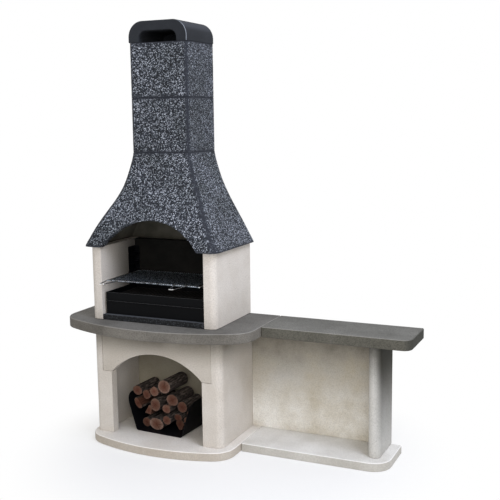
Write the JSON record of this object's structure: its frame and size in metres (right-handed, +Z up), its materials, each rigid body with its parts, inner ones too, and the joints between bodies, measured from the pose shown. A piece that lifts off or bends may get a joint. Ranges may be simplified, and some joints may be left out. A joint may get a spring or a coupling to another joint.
{
  "type": "outdoor masonry barbecue",
  "caption": "Masonry barbecue with a flared hood and chimney over an open fire chamber, an arched log niche below and a side worktop.",
  "frame": {"origin": "middle of the whole footprint's bounding box, on the ground", "axes": "+Z up, +X towards the side worktop, +Y towards the rear, so the fire chamber opens towards -Y"},
  "size_m": [1.851, 0.567, 2.2071],
  "materials": {
    "cream_concrete": "matte",
    "pale_concrete": "matte",
    "beige_concrete": "matte",
    "worktop_concrete": "satin",
    "granite_concrete": "matte",
    "slate_concrete": "satin",
    "sooted_refractory": "matte",
    "black_steel": "satin",
    "black_cast_iron": "matte",
    "chromed_wire": "gloss",
    "firewood": "matte"
  },
  "bodies": {
    "masonry": {"base_slab": "cream_concrete", "left_pier": "cream_concrete", "right_pier": "cream_concrete", "arch_lintel": "cream_concrete", "chamber_left_wall": "cream_concrete", "chamber_right_wall": "cream_concrete", "chamber_rear_wall": "cream_concrete", "side_base_slab": "pale_concrete", "side_end_wall": "pale_concrete", "lower_back_wall": "beige_concrete", "side_back_panel": "beige_concrete", "worktop": "worktop_concrete", "side_worktop": "worktop_concrete", "hood": "granite_concrete", "chimney_lower_block": "granite_concrete", "chimney_upper_block": "granite_concrete", "hearth_slab": "granite_concrete", "chimney_cap": "slate_concrete", "fireback": "sooted_refractory", "fire_box_casing": "black_steel", "left_grid_bracket": "black_steel", "right_grid_bracket": "black_steel", "left_lower_bracket_bolt": "black_steel", "left_upper_bracket_bolt": "black_steel", "right_lower_bracket_bolt": "black_steel", "right_upper_bracket_bolt": "black_steel"},
    "cooking_grid": {"cooking_grid": "chromed_wire", "left_grid_handle": "chromed_wire", "right_grid_handle": "chromed_wire"},
    "charcoal_grate": {"charcoal_grate": "black_cast_iron"},
    "ash_drawer": {"ash_drawer": "black_steel"},
    "log_cradle": {"log_cradle": "black_steel", "log_01": "firewood", "log_02": "firewood", "log_03": "firewood", "log_04": "firewood", "log_05": "firewood", "log_06": "firewood", "log_07": "firewood", "log_08": "firewood", "log_09": "firewood", "log_10": "firewood", "log_11": "firewood", "log_12": "firewood", "log_13": "firewood", "log_14": "firewood", "log_15": "firewood", "log_16": "firewood", "log_17": "firewood", "log_18": "firewood"}
  },
  "joints": [
    {"name": "grid_slide", "type": "slide", "parent": "masonry", "child": "cooking_grid", "axis": [0, -1, 0], "range_m": [0, 0.055]},
    {"name": "grate_lift", "type": "slide", "parent": "masonry", "child": "charcoal_grate", "axis": [0, 0, 1], "range_m": [0, 0.045]},
    {"name": "drawer_slide", "type": "slide", "parent": "masonry", "child": "ash_drawer", "axis": [0, -1, 0], "range_m": [0, 0.24]},
    {"name": "cradle_slide", "type": "slide", "parent": "masonry", "child": "log_cradle", "axis": [0, -1, 0], "range_m": [0, 0.15]}
  ]
}
